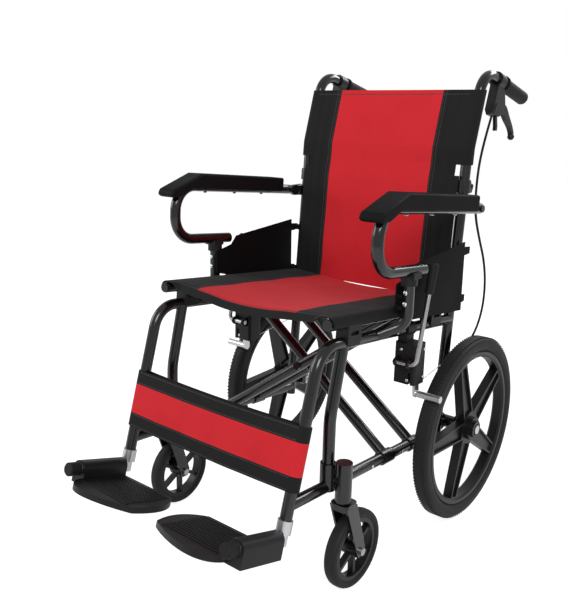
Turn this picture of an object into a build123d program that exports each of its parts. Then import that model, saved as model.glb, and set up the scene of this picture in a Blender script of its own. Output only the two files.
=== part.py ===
from build123d import *
import os
from math import atan2, cos, degrees, hypot, radians, sin, tan

# A folding transport wheelchair. X runs to the sitter's left, Y to the rear and Z up.
# Lengths are mm. Every Y below is counted from the rear axle, and main() moves the finished
# chair by axle_y, so that the origin is on the floor under the middle of the chair.
axle_y = 227.1

# Frame tubes
tube_d = 22.0
tube_wall = 1.5
weld_depth = 0.6          # lower rail runs this far past the back post's middle
rail_x = 205.0            # side frame plane, from the chair's middle
frame_tilt = 4.5          # top rail, seat, armrest and back post all lean back by this
top_rail_z = 434.5        # top rail's height over the rear axle
base_tilt = 2.7           # lower rail falls to the rear by this
base_rail_z = 185.3       # lower rail's height over the rear axle
hinge_y = 6.0             # back post's top end, where the half-folding back starts
hinge_z = 713.0
post_foot_z = 168.0
leg_corner_y = -464.0     # top rail turns down into the legrest tube
leg_lean = 16.0
leg_end_z = 176.0
leg_bend = 52.0
front_post_y = -430.0
front_post_knee_z = 335.0
front_post_top_y = -399.0
front_post_bend = 150.0

# Running fits and seats
run_gap = 0.08            # radial, pins and sleeves
seat_gap = 0.15           # radial, clamped pieces on tubes
soft_gap = 0.3            # cloth and pieces that swing past each other

# Rear wheels
rear_d = 400.0
rear_x = 257.0
rear_tyre_w = 34.0
rear_tyre_h = 31.0
rear_rim_w = 27.0
rear_rim_h = 15.0
rear_hub_r = 25.0
rear_spokes = 5
first_spoke = 36.0        # from the rear, upwards
rear_axle_r = 6.0

# Casters
caster_d = 150.0
caster_x = 236.0
caster_y = -424.0
caster_trail = 37.0
caster_tyre_w = 25.0
caster_tyre_h = 17.0
caster_rim_h = 8.0
caster_spokes = 6
caster_hub_r = 14.0
housing_r = 15.0
crown_room = 20.5         # from the tyre to the fork's crown
fork_crown_t = 12.0
housing_low_z = caster_d + crown_room + fork_crown_t + 2.5
housing_h = 74.0
stem_r = 7.0
fork_gap = 31.0
fork_leg_t = 4.0
caster_axle_r = 4.0

# Seat, cross braces
rail_rise = 36.5          # seat rail over the top rail, square to both
seat_front_y = -444.0
seat_rear_y = -32.0
arm_stations = (-240.0, -140.0)
arm_step = 24.0           # the second brace's arms lie this far in front of the first one's
sleeve_len = 34.0
sleeve_wall = 3.0
brace_bolt_r = 4.0
arm_short = 5.0           # arms stop this far before the seat rail's middle
saddle_stations = (-385.0, -95.0)
saddle_len = 40.0
saddle_wall = 2.5
cloth_t = 3.0
seat_sag = 9.0

# Back
back_knee_z = hinge_z + 77
back_lean = 16.0          # upper cane above its knee
grip_drop = 13.8          # push handle falls to the rear by this
cane_rise = 232.0         # handle's corner over the fold hinge
cane_top_z = hinge_z + cane_rise
cane_bend = 46.0
handle_end_y = 252.0
grip_len = 112.0
grip_r = 14.5
pivot_back = 21.0         # hinge pin behind the post's middle
collar_r = 14.5
collar_h = 13.0
hinge_pin_r = 3.0
latch_pin_r = 2.5
lug_t = 4.0
lug_mid_t = 9.0
back_top_z = cane_top_z - 39
sleeve_low_z = hinge_z + 44
bend_gap = 0.6            # the straight sleeves clear the cane's gentle bend by this

# Armrests
arm_x = 250.0
arm_pivot_y = -22.0
arm_pivot_z = 675.0
arm_reach = 352.0
arm_drop = 112.0
arm_return = 50.0         # lower tube's end behind the armrest post
arm_bend = 50.0
arm_tail = 12.0
arm_pin_r = 4.0
fold_way = 16.5           # the folded seat rail passes inside the armrest's lug
arm_post_x = 248.0
arm_post_y = -262.0
arm_post_knee_z = 482.0
arm_post_foot_y = -300.0
pad_w = 48.0
pad_top = 27.0
pad_low = -5.0
pad_nose = 30.0
pad_rear = -33.0
socket_h = 24.0
socket_r = 15.5

# Legrests and footplates
strap_low = 61.0          # above the tube's end, along the tube
strap_h = 112.0
strap_t = 2.2
foot_drop = 21.0          # footplate pin below the legrest tube's end, along the tube
foot_pin_r = 6.0
block_start = 14.0
block_len = 103.0
block_w = 34.0
block_top = 15.0
block_low = 29.0
plate_w = 172.0
plate_len = 132.0
plate_start = 15.5
plate_t = 11.0
plate_level = 15.0
rib_count = 12
rib_h = 1.5
cap_r = 13.0
cap_len = 24.0

# Parking brake and hand brake
box_y = -187.5
box_z = 384.0
box_size = (49.0, 39.0, 82.0)
box_x = 216.5
lever_y = -216.0
lever_z = 388.0
lever_x = 247.0
lever_lean = 13.0
lever_len = 196.0
lever_rod_r = 4.5
lever_grip_r = 9.5
lever_grip_len = 60.0
shoe_y = -181.0
shoe_z = 354.0
shoe_drop = 36.0
shoe_x = 228.5
shoe_t = 5.0
shoe_pin_r = 7.0
shoe_pin_len = 53.0
perch_y = 126.0
pivot_from_perch = (17.0, -53.9)    # to the rear and up, from the handle tube's middle at the perch
ball_from_perch = (88.0, -115.9)
catch_from_perch = (-4.0, -59.9)
cable_d = 5.0
wire_d = 1.6
cable_x = 222.0
stop_y = -19.0
stop_z = 358.0
cable_points = [
    (212.5, 93.0, 856.0), (216.0, 60.0, 790.0), (cable_x, 36.0, 720.0), (cable_x, 43.0, 655.0),
    (cable_x, 66.0, 603.0), (cable_x, 97.0, 550.0), (cable_x, 116.0, 494.0), (cable_x, 111.0, 436.0),
    (cable_x, 82.0, 388.0), (cable_x, 34.0, 361.0), (cable_x, stop_y, stop_z),
]

# Places that follow from the sizes above
tube_r = tube_d / 2
slope = tan(radians(frame_tilt))
seat_rail_z = top_rail_z + rail_rise / cos(radians(frame_tilt))
fold_rise = (seat_rail_z - slope * arm_stations[0]) - (base_rail_z - tan(radians(base_tilt)) * arm_stations[0])
pivot_y = hinge_y + pivot_back
fork_axle_y = caster_y + caster_trail


def top_z(y):
    return top_rail_z - slope * y


def base_z(y):
    return base_rail_z - tan(radians(base_tilt)) * y


def post_y(z):
    return hinge_y - (hinge_z - z) * slope


def leg_y(z):
    return leg_corner_y - (top_z(leg_corner_y) - z) * tan(radians(leg_lean))


def along_y(x, y, z, tilt):
    """A plane whose Z runs to the rear and down by tilt."""
    return Plane(origin=(x, y, z), x_dir=(1, 0, 0), z_dir=(0, cos(radians(tilt)), -sin(radians(tilt))))


def frame_at(x, y, z, tilt):
    """A place whose Y runs to the rear and down by tilt."""
    return Pos(x, y, z) * Rot(-tilt, 0, 0)


def tube(points, bends, diameter):
    path = Line(*points) if len(points) == 2 else FilletPolyline(*points, radius=bends)
    return sweep(Plane(origin=path @ 0, z_dir=path % 0) * Circle(diameter / 2), path=path)


def rod(start, end, radius):
    """A round bar from one point to another."""
    axis = Vector(*end) - Vector(*start)
    return Solid.make_cylinder(radius, axis.length, Plane(origin=start, z_dir=axis))


def cross_rod(x_from, x_to, y, z, radius):
    return rod((x_from, y, z), (x_to, y, z), radius)


def side_plate(x_from, x_to, outline):
    """A flat piece in the YZ plane between two X values."""
    face = make_face(Polyline(*[(x_from, y, z) for y, z in outline], close=True))
    return Solid.extrude(face.faces()[0], Vector(x_to - x_from, 0, 0))


def other_side(shape):
    return mirror(shape, about=Plane.YZ)


# Side frame

def frame_tubes():
    top_end = (rail_x, post_y(top_z(post_y(top_rail_z))), top_z(post_y(top_rail_z)))
    corner = (rail_x, leg_corner_y, top_z(leg_corner_y))
    leg_end = (rail_x, leg_y(leg_end_z), leg_end_z)
    front_y = leg_y(base_z(leg_y(base_rail_z)))
    base_front = (rail_x, front_y, base_z(front_y))
    rear_y = post_y(base_z(post_y(base_rail_z))) + weld_depth
    return [
        ([top_end, corner, leg_end], [leg_bend]),
        ([base_front, (rail_x, rear_y, base_z(rear_y))], []),
        ([(rail_x, post_y(post_foot_z), post_foot_z), (rail_x, post_y(hinge_z), hinge_z)], []),
        ([(rail_x, front_post_y, base_z(front_post_y)), (rail_x, front_post_y, front_post_knee_z),
          (rail_x, front_post_top_y, top_z(front_post_top_y))], [front_post_bend]),
        ([(arm_post_x, arm_post_y, arm_socket_low()), (arm_post_x, arm_post_y, arm_post_knee_z),
          (rail_x, arm_post_foot_y, top_z(arm_post_foot_y))], [30.0]),
    ]


def arm_socket_low():
    return arm_return_z(arm_post_y) - tube_r - 4.0


def arm_return_z(y):
    return arm_pivot_z - slope * (y - arm_pivot_y) - arm_drop / cos(radians(frame_tilt))


def axle_carrier():
    foot = post_y(rear_d / 2)
    barrel = cross_rod(rail_x - 18, rear_x - rear_hub_r + 3, 0, rear_d / 2, 14.0)
    web = side_plate(rail_x - 3, rail_x + 3, [(foot, rear_d / 2 + 42), (foot, rear_d / 2 - 24),
                                              (0, rear_d / 2 - 13), (0, rear_d / 2 + 13)])
    return barrel + web


def caster_carrier():
    low = housing_low_z
    housing = Pos(caster_x, caster_y, low + housing_h / 2) * Cylinder(housing_r, housing_h)
    clamp_z = base_z(front_post_y) + 20
    clamp = Pos(rail_x, front_post_y, clamp_z) * Cylinder(tube_r + 3.5, 52)
    web = Pos((rail_x + caster_x) / 2, (caster_y + front_post_y) / 2, clamp_z) * Box(caster_x - rail_x, 13, 40)
    return housing + clamp + web


def hinge_lower():
    """Collar and two lugs at the top of the back post."""
    collar_plane = Plane(origin=(rail_x, post_y(hinge_z - collar_h), hinge_z - collar_h),
                         z_dir=(0, sin(radians(frame_tilt)), cos(radians(frame_tilt))))
    collar = Solid.make_cylinder(collar_r, collar_h - soft_gap, collar_plane)
    lugs = [
        side_plate(rail_x + side * (lug_mid_t / 2 + soft_gap), rail_x + side * (lug_mid_t / 2 + soft_gap + lug_t),
                   [(hinge_y, hinge_z - collar_h), (pivot_y, hinge_z - collar_h), (pivot_y + 5, hinge_z - 4),
                    (pivot_y + 5, hinge_z + 3), (pivot_y + 2, hinge_z + 5), (pivot_y - 2, hinge_z + 5),
                    (pivot_y - 5.6, hinge_z - 1.8), (hinge_y, hinge_z - 1.8)])
        for side in (-1, 1)
    ]
    bore = cross_rod(rail_x - 12, rail_x + 12, pivot_y, hinge_z, hinge_pin_r)
    return collar + lugs[0] + lugs[1] - bore


def arm_lug():
    """Welded lug with the stud that the armrest turns on."""
    y = post_y(arm_pivot_z)
    strap = side_plate(rail_x + 3, rail_x + fold_way + 1, [(y + 6, arm_pivot_z - 13), (y + 6, arm_pivot_z + 13),
                                                           (y - 20, arm_pivot_z + 11), (y - 20, arm_pivot_z - 11)])
    base = side_plate(rail_x + fold_way, rail_x + 25, [(y + 6, arm_pivot_z - 13), (y + 6, arm_pivot_z + 13),
                                                (arm_pivot_y, arm_pivot_z + 12), (arm_pivot_y - 10, arm_pivot_z + 5),
                                                (arm_pivot_y - 10, arm_pivot_z - 5), (arm_pivot_y, arm_pivot_z - 12)])
    boss = cross_rod(rail_x + 20, arm_x - tube_r - soft_gap, arm_pivot_y, arm_pivot_z, 9.0)
    stud = cross_rod(rail_x + 20, arm_x + tube_r + 2, arm_pivot_y, arm_pivot_z, arm_pin_r)
    head = cross_rod(arm_x + tube_r + soft_gap, arm_x + tube_r + 5, arm_pivot_y, arm_pivot_z, 7.0)
    return strap + base + boss + stud + head


def cable_stop():
    lug = side_plate(rail_x + 4, cable_x, [(stop_y - 8, stop_z - 4), (stop_y - 8, stop_z + 4),
                                           (stop_y + 4, stop_z + 4), (stop_y + 4, stop_z - 4)])
    return lug + rod((cable_x, stop_y - 9, stop_z), (cable_x, stop_y + 5, stop_z), 5.0)


def side_frame():
    runs = frame_tubes()
    body = tube(*runs[0], tube_d)
    for points, bends in runs[1:]:
        body += tube(points, bends, tube_d)
    for fitting in (axle_carrier(), caster_carrier(), hinge_lower(), arm_lug(), cable_stop()):
        body += fitting
    for points, bends in runs:
        body -= tube(points, bends, tube_d - 2 * tube_wall)
    body -= cross_rod(0, rear_x, 0, rear_d / 2, rear_axle_r + seat_gap)
    body -= Pos(caster_x, caster_y, housing_low_z + (housing_h - 9) / 2) * Cylinder(stem_r + run_gap, housing_h - 9)
    body -= rod((cable_x, stop_y - 20, stop_z), (cable_x, stop_y + 12, stop_z), cable_d / 2 + seat_gap)
    y, z = latch_pin()
    body -= cross_rod(rail_x - collar_r - 1, rail_x - collar_r + 4, y, z, latch_pin_r + run_gap)
    return body


def seat_saddle(y):
    """Cradle clipped over the top rail, open at its top for the seat rail."""
    low, high = -4.0, rail_rise - 3.0
    block = Pos(0, 0, (low + high) / 2) * Box(tube_d + 2 * saddle_wall, saddle_len, high - low)
    block = chamfer(block.edges().filter_by(Axis.X).group_by(Axis.Z)[0], 5.0)
    on_rail = Rot(90, 0, 0) * Cylinder(tube_r + seat_gap, saddle_len + 10)
    for_seat = Pos(0, 0, rail_rise) * Rot(90, 0, 0) * Cylinder(tube_r + soft_gap, saddle_len + 10)
    waist = Pos(0, 0, rail_rise / 2) * Box(tube_d + 10, saddle_len - 16, 7)
    core = Pos(0, 0, rail_rise / 2) * Box(tube_d - 6, saddle_len, 8)
    saddle = frame_at(rail_x, y, top_z(y), frame_tilt) * (block - waist + core - on_rail - for_seat)
    return saddle - tube(*frame_tubes()[3], tube_d + 2 * seat_gap)


def seat_saddles():
    return Compound(children=[seat_saddle(y) for y in saddle_stations])


# Cross braces

def fold_axis(x, y):
    """A plane on a lower rail, its Z along the rail."""
    return along_y(x, y, base_z(y), base_tilt)


def arm_span(side, y):
    """One arm's ends: the lower rail on one side and the seat rail on the other."""
    rise = fold_rise * cos(radians(base_tilt))
    low = Vector(side * rail_x, y, base_z(y))
    up = Vector(-2 * side * rail_x, rise * sin(radians(base_tilt)), rise * cos(radians(base_tilt)))
    return low, low + up


def brace(side, offset):
    """Seat rail with two arms down to sleeves on the other side's lower rail."""
    front, rear = [Vector(-side * rail_x, y, seat_rail_z - slope * y) for y in (seat_front_y, seat_rear_y)]
    rail = rod(front, rear, tube_r)
    caps = rod(front - (rear - front).normalized() * 4, front, tube_r - 1)
    body = rail + caps
    for y in arm_stations:
        low, up = arm_span(side, y - offset)
        body += rod(low, up - (up - low).normalized() * arm_short, tube_r)
        body += Solid.make_cylinder(tube_r + sleeve_wall, sleeve_len, fold_axis(side * rail_x, y - offset).offset(
            -sleeve_len / 2))
    for y in arm_stations:
        start = fold_axis(side * rail_x, y - offset).offset(-sleeve_len)
        body -= Solid.make_cylinder(tube_r + run_gap, 2 * sleeve_len, start)
    return body


def brace_bolts(radius, head):
    """The pins where the two braces cross."""
    bolts = []
    for y in arm_stations:
        low, up = arm_span(1, y)
        middle = (low + up) * 0.5
        axis = Vector(0, cos(radians(base_tilt)), -sin(radians(base_tilt)))
        ends = (middle - axis * (arm_step + tube_r + soft_gap), middle + axis * (tube_r + soft_gap))
        bolt = rod(ends[0] - axis * head, ends[1] + axis * head, radius)
        if head:
            bolt += rod(ends[0] - axis * head, ends[0], radius + 4)
            bolt += rod(ends[1], ends[1] + axis * head, radius + 4)
        bolts.append(bolt)
    return bolts


def brace_first():
    body = brace(1, 0.0)
    for bolt in brace_bolts(brace_bolt_r, 5.0):
        body += bolt
    return body


def brace_second():
    body = brace(-1, arm_step)
    for hole in brace_bolts(brace_bolt_r + run_gap, 0.0):
        body -= hole
    return body


# Upper back

def cane_points(x):
    knee_y = post_y(back_knee_z)
    lean = tan(radians(back_lean))
    drop = tan(radians(grip_drop))
    top_y = knee_y + (cane_top_z - back_knee_z) * lean
    return [(x, post_y(hinge_z), hinge_z), (x, knee_y, back_knee_z), (x, top_y, cane_top_z),
            (x, handle_end_y, cane_top_z - (handle_end_y - top_y) * drop)]


def cane_bends():
    return [160.0, cane_bend]


def handle_z(y):
    knee_y = post_y(back_knee_z)
    top_y = knee_y + (cane_top_z - back_knee_z) * tan(radians(back_lean))
    return cane_top_z - (y - top_y) * tan(radians(grip_drop))


def upper_cane():
    """Cane from the fold hinge up and back to the push handle, with its half of the hinge."""
    points = cane_points(rail_x)
    body = tube(points, cane_bends(), tube_d)
    base = Plane(origin=(rail_x, post_y(hinge_z), hinge_z),
                 z_dir=(0, sin(radians(frame_tilt)), cos(radians(frame_tilt))))
    body += Solid.make_cylinder(collar_r, collar_h, base)
    body += side_plate(rail_x - lug_mid_t / 2, rail_x + lug_mid_t / 2,
                       [(hinge_y, hinge_z + 2), (pivot_y - 6, hinge_z + 1), (pivot_y - 4, hinge_z - 4),
                        (pivot_y + 4, hinge_z - 4), (pivot_y + 5.5, hinge_z), (pivot_y + 5, hinge_z + 6),
                        (pivot_y, hinge_z + collar_h), (hinge_y, hinge_z + collar_h)])
    body -= tube(points, cane_bends(), tube_d - 2 * tube_wall)
    body += cross_rod(rail_x - lug_mid_t / 2 - lug_t - 2, rail_x + lug_mid_t / 2 + lug_t + 2, pivot_y, hinge_z,
                      hinge_pin_r - run_gap)
    return body


def push_grip():
    """Soft grip with an end flange and finger ridges."""
    axis = Vector(0, cos(radians(grip_drop)), -sin(radians(grip_drop)))
    end = Vector(rail_x, handle_end_y, handle_z(handle_end_y))
    start = end - axis * (grip_len - 5)
    body = rod(start, end + axis * 5, grip_r)
    body = chamfer(body.edges().filter_by(GeomType.CIRCLE).sort_by(Axis.Y)[-1], 3.0)
    body += rod(start, start + axis * 5, grip_r + 3)
    return body - rod(start - axis, end, tube_r + seat_gap)


def from_perch(offset):
    return perch_y + offset[0], handle_z(perch_y) + offset[1]


def brake_perch():
    """Moulded housing clamped round the handle tube, slotted for the lever and the catch."""
    axis = Vector(0, cos(radians(grip_drop)), -sin(radians(grip_drop)))
    centre = Vector(rail_x, perch_y, handle_z(perch_y))
    body = rod(centre - axis * 12, centre + axis * 12, tube_r + 5)
    y, z = from_perch(pivot_from_perch)
    catch_y, catch_z = from_perch(catch_from_perch)
    body += side_plate(rail_x - 10, rail_x + 10, [
        (perch_y - 13, centre.Z), (perch_y + 12, centre.Z - 6), (y + 6, z + 8), (y + 9, z - 4), (y, z - 13),
        (catch_y, catch_z - 14), (catch_y - 20, z - 16), (catch_y - 28, z - 6)])
    body += rod((rail_x + 7.5, catch_y - 27.6, catch_z - 9), (rail_x + 8, catch_y - 16, catch_z + 12), 4.5)
    body -= rod(centre - axis * 30, centre + axis * 30, tube_r + seat_gap)
    body -= side_plate(rail_x - 5 - soft_gap, rail_x + 5 + soft_gap, [
        (y - 11, z + 12), (y + 30, z + 24), (y + 30, z - 40), (y - 11, z - 40)])
    body -= side_plate(rail_x - 3 - soft_gap, rail_x + 3 + soft_gap, [
        (catch_y - 8, catch_z + 8), (catch_y + 9, catch_z + 8), (catch_y + 30, catch_z - 40),
        (catch_y - 8, catch_z - 40)])
    body += cross_rod(rail_x - 10, rail_x + 10, y, z, 2.5)
    return body + cross_rod(rail_x - 10, rail_x + 10, catch_y, catch_z, 2.0)


def brake_lever():
    """Curved two-finger lever with a ball end."""
    y, z = from_perch(pivot_from_perch)
    ball_y, ball_z = from_perch(ball_from_perch)
    top = Spline((rail_x, y + 4, z + 8), (rail_x, y + 42, z - 16), (rail_x, ball_y + 5, ball_z + 2),
                 tangents=((0, 1, 0), (0, 0.35, -1)))
    low = Spline((rail_x, ball_y - 4, ball_z), (rail_x, y + 30, z - 26), (rail_x, y - 2, z - 8),
                 tangents=((0, -0.35, 1), (0, -1, 0.1)))
    outline = Wire([top, Line(top @ 1, low @ 0), low, Line(low @ 1, top @ 0)])
    blade = Solid.extrude(Face(outline), Vector(10, 0, 0)).moved(Pos(-5, 0, 0))
    blade += cross_rod(rail_x - 5, rail_x + 5, y, z, 8.0)
    blade += Pos(rail_x, ball_y, ball_z) * Sphere(7.5)
    return blade - cross_rod(rail_x - 6, rail_x + 6, y, z, 2.5 + run_gap)


def brake_catch():
    """Short lever that holds the hand brake on."""
    y, z = from_perch(catch_from_perch)
    body = cross_rod(rail_x - 3, rail_x + 3, y, z, 5.0)
    body += side_plate(rail_x - 3, rail_x + 3, [(y - 4, z), (y + 4, z), (y + 13, z - 34), (y + 12, z - 43),
                                                (y + 3, z - 43), (y + 3, z - 34)])
    return body - cross_rod(rail_x - 6, rail_x + 6, y, z, 2.0 + run_gap)


def latch_pin():
    return post_y(hinge_z - 8), hinge_z - 8


def back_latch():
    """Thumb lever on the inner side of the back hinge."""
    y, z = latch_pin()
    x = rail_x - collar_r
    body = side_plate(x - 5, x - soft_gap, [(y - 7, z - 6), (y + 6, z - 6), (y + 9, z + 10), (y + 26, z + 16),
                                            (y + 26, z + 24), (y - 2, z + 20), (y - 7, z + 8)])
    return body + cross_rod(x - 7, x + 3, y, z, latch_pin_r)


# Armrests

def arm_place(shape):
    return frame_at(arm_x, arm_pivot_y, arm_pivot_z, frame_tilt) * shape


def arm_path():
    lower_end = arm_post_y - arm_pivot_y + arm_return
    return [(0, arm_tail, 0), (0, -arm_reach, 0), (0, -arm_reach + 4, -arm_drop), (0, lower_end, -arm_drop)]


def armrest_frame():
    """Bent tube from the rear pivot round the front and back to the lock."""
    body = tube(arm_path(), [arm_bend, arm_bend], tube_d)
    body -= tube(arm_path(), [arm_bend, arm_bend], tube_d - 2 * tube_wall)
    end = arm_path()[-1]
    body += Pos(end[0], end[1] + 1, end[2]) * Rot(90, 0, 0) * Cylinder(tube_r, 4)
    body += Pos(0, arm_tail + 1, 0) * Rot(90, 0, 0) * Cylinder(tube_r, 4)
    body -= Rot(0, 90, 0) * Cylinder(arm_pin_r + run_gap, tube_d + 4)
    return arm_place(body)


def armrest_pad():
    """Moulded pad with a slanted nose, screwed down on the tube."""
    nose = -arm_reach - pad_nose
    outline = [(pad_rear, pad_low), (pad_rear, pad_top), (nose + 82, pad_top), (nose + 4, pad_top - 36), (nose, pad_top - 46),
               (nose + 8, pad_low - 20), (nose + 30, pad_low - 17), (nose + 62, pad_low)]
    face = make_face(Polyline(*[(-pad_w / 2, y, z) for y, z in outline], close=True))
    body = Part() + Solid.extrude(face.faces()[0], Vector(pad_w, 0, 0))
    long_edges = body.edges().filter_by(lambda e: abs(e.center().X) > pad_w / 2 - 1 and e.center().Z > pad_low + 1)
    body = chamfer(long_edges, 7.0)
    return arm_place(body - tube(arm_path(), [arm_bend, arm_bend], tube_d + 2 * seat_gap)
                     - Pos(0, (pad_rear + nose) / 2, pad_low - 8) * Box(tube_d - 1, pad_rear - nose + 60, 16))


def armrest_socket():
    """Plastic lock on the post's top, a saddle for the armrest's return tube."""
    top = arm_return_z(arm_post_y)
    body = Pos(arm_post_x, arm_post_y, top - 3 - socket_h / 2) * Cylinder(socket_r, socket_h)
    body += Pos(arm_x, arm_post_y, top - 8) * Box(2 * socket_r, 26, 12)
    saddle = Pos(arm_x, arm_post_y, top) * Rot(-frame_tilt, 0, 0) * Rot(90, 0, 0) * Cylinder(tube_r + soft_gap, 60)
    post = Pos(arm_post_x, arm_post_y, arm_socket_low() - socket_h) * Cylinder(tube_r + seat_gap, 2 * socket_h)
    return body - saddle - post


def skirt_guard():
    """Side panel with bosses to the armrest post and the back post."""
    inner, outer = rail_x + 24.0, rail_x + 27.0
    low_front = top_z(-245) + 26
    outline = [(-17, top_z(-17) + 24), (-20, 604), (-212, 584), (-228, 566), (-276, 555), (-276, 508), (-245, 500),
               (-245, low_front)]
    body = side_plate(inner, outer, outline)
    for z in (541.0, 520.0):
        body += cross_rod(outer, arm_post_x - 4, arm_post_y, z, 6.5)
    for z in (485.0, 585.0):
        body += cross_rod(rail_x + 5, inner, post_y(z), z, 6.5)
        body += side_plate(inner, outer, [(-22, z - 9), (post_y(z) + 7, z - 7), (post_y(z) + 7, z + 7), (-22, z + 9)])
    post = [(arm_post_x, arm_post_y, 600), (arm_post_x, arm_post_y, 490)]
    back = [(rail_x, post_y(460), 460), (rail_x, post_y(620), 620)]
    return body - tube(post, [], tube_d + 2 * seat_gap) - tube(back, [], tube_d + 2 * seat_gap)


# Wheels

def wheel_place(shape, x, y, z):
    """Turns a wheel made round Z so that its axle lies along X."""
    return Pos(x, y, z) * Rot(0, 90, 0) * shape


def tyre(outer_r, height, width):
    """Crowned tread, straight side walls and a narrower bead, as flats that read as round."""
    crown = [(0.0, 0.16), (0.04, 0.30), (0.16, 0.44), (0.32, 0.5), (0.62, 0.5), (0.86, 0.42), (1.0, 0.28)]
    half = [(outer_r - height * deep, width * out) for deep, out in crown]
    section = make_face(Polyline(*half, *[(r, -w) for r, w in reversed(half)], close=True))
    return revolve(Plane.XZ * section, Axis.Z)


def rim(outer_r, height, width, corner):
    section = Pos(outer_r - height / 2, 0) * chamfer(Rectangle(height, width).vertices(), corner)
    return revolve(Plane.XZ * section, Axis.Z)


def spoke(r_in, r_out, w_in, w_out, depth_in, depth_out):
    """One tapered spoke, hollowed on both faces."""
    outline = make_face(Polyline((r_in, -w_in / 2), (r_out, -w_out / 2), (r_out, w_out / 2), (r_in, w_in / 2),
                                 close=True))
    body = Solid.extrude(outline.faces()[0], Vector(0, 0, depth_in)).moved(Pos(0, 0, -depth_in / 2))
    hollow = make_face(Polyline((r_in + 14, -w_in / 2 + 4), (r_out - 10, -w_out / 2 + 4), (r_out - 10, w_out / 2 - 4),
                                (r_in + 14, w_in / 2 - 4), close=True))
    cut = Solid.extrude(hollow.faces()[0], Vector(0, 0, depth_out))
    return body - cut.moved(Pos(0, 0, depth_in / 2 - depth_out)) - cut.moved(Pos(0, 0, -depth_in / 2))


def rear_wheel():
    """Moulded five-spoke wheel with a hub cap ring."""
    rim_r = rear_d / 2 - rear_tyre_h + 3
    body = rim(rim_r, rear_rim_h, rear_rim_w, 4.0)
    body += Cylinder(rear_hub_r, 40) + Pos(0, 0, 22) * Cylinder(rear_hub_r - 7, 8)
    for turn in range(rear_spokes):
        angle = 90 + first_spoke + turn * 360 / rear_spokes
        body += Rot(0, 0, angle) * spoke(rear_hub_r - 4, rim_r - 8, 40, 25, 20, 5)
    body -= Pos(0, 0, 26) * Cylinder(rear_hub_r - 13, 6)
    body -= Cylinder(rear_axle_r + run_gap, 70)
    body -= tyre(rear_d / 2, rear_tyre_h, rear_tyre_w)
    return wheel_place(body, rear_x, 0, rear_d / 2)


def rear_tyre():
    return wheel_place(tyre(rear_d / 2, rear_tyre_h, rear_tyre_w), rear_x, 0, rear_d / 2)


def rear_axle():
    """Bolt through the hub into the frame's barrel, with its locknut."""
    body = cross_rod(rail_x - 28, rear_x + 22, 0, rear_d / 2, rear_axle_r)
    body += cross_rod(rear_x + 20 + 3.2, rear_x + 28, 0, rear_d / 2, 9.5)
    nut = Pos(rail_x - 22.2, 0, rear_d / 2) * Rot(0, 90, 0) * extrude(RegularPolygon(11, 6), 4, both=True)
    return body + cross_rod(rear_x + 22, rear_x + 24, 0, rear_d / 2, rear_axle_r) + nut


def caster_wheel():
    rim_r = caster_d / 2 - caster_tyre_h + 2
    section = Pos(rim_r - caster_rim_h / 2, 0) * Rectangle(caster_rim_h, caster_tyre_w - 6)
    body = revolve(Plane.XZ * section, Axis.Z) + Cylinder(caster_hub_r, fork_gap - 1.2)
    for turn in range(caster_spokes):
        arm = Pos((rim_r + caster_hub_r) / 2 - 3, 0, 0) * Box(rim_r - caster_hub_r, 7, 12)
        body += Rot(0, 0, turn * 360 / caster_spokes) * arm
    body -= Cylinder(caster_axle_r + run_gap, 60)
    body -= tyre(caster_d / 2, caster_tyre_h, caster_tyre_w)
    return wheel_place(body, caster_x, fork_axle_y, caster_d / 2)


def caster_tyre():
    return wheel_place(tyre(caster_d / 2, caster_tyre_h, caster_tyre_w), caster_x, fork_axle_y, caster_d / 2)


def caster_fork():
    """Crown with a stem and two flat legs that trail back to the axle."""
    crown_top = housing_low_z - 2.5
    crown_low = crown_top - fork_crown_t
    body = Pos(caster_x, caster_y + 3, (crown_top + crown_low) / 2) * Box(fork_gap + 2 * fork_leg_t, 38, fork_crown_t)
    body = fillet(body.edges().filter_by(Axis.Z), 10)
    body += Pos(caster_x, caster_y, crown_top + 1) * Cylinder(11, 2.2)
    body += Pos(caster_x, caster_y, crown_top + 30) * Cylinder(stem_r, 60)
    for side in (-1, 1):
        x0 = caster_x + side * fork_gap / 2
        leg = side_plate(x0, x0 + side * fork_leg_t, [
            (caster_y - 13, crown_top - 4), (caster_y + 18, crown_top - 4), (fork_axle_y + 13, caster_d / 2 + 4),
            (fork_axle_y + 8, caster_d / 2 - 11), (fork_axle_y - 8, caster_d / 2 - 11),
            (fork_axle_y - 14, caster_d / 2 + 4)])
        body += leg
    return body - cross_rod(caster_x - 30, caster_x + 30, fork_axle_y, caster_d / 2, caster_axle_r + seat_gap)


def caster_axle():
    half = fork_gap / 2 + fork_leg_t
    body = cross_rod(caster_x - half - 5, caster_x + half, fork_axle_y, caster_d / 2, caster_axle_r)
    for side in (-1, 1):
        x = caster_x + side * half
        body += cross_rod(x, x + side * 5, fork_axle_y, caster_d / 2, 7.0)
    return body


# Legrests

def foot_plane():
    """A place on the footplate pin: Y forward and up along it, Z square to it, X to the left."""
    lean = radians(leg_lean)
    y = leg_y(leg_end_z) - foot_drop * sin(lean)
    z = leg_end_z - foot_drop * cos(lean)
    return Plane(origin=(rail_x, y, z), x_dir=(1, 0, 0), z_dir=(0, sin(lean), cos(lean)))


def foot_place(shape):
    """Local Y is to the rear, so forward lengths are negative."""
    return foot_plane().location * shape


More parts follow.
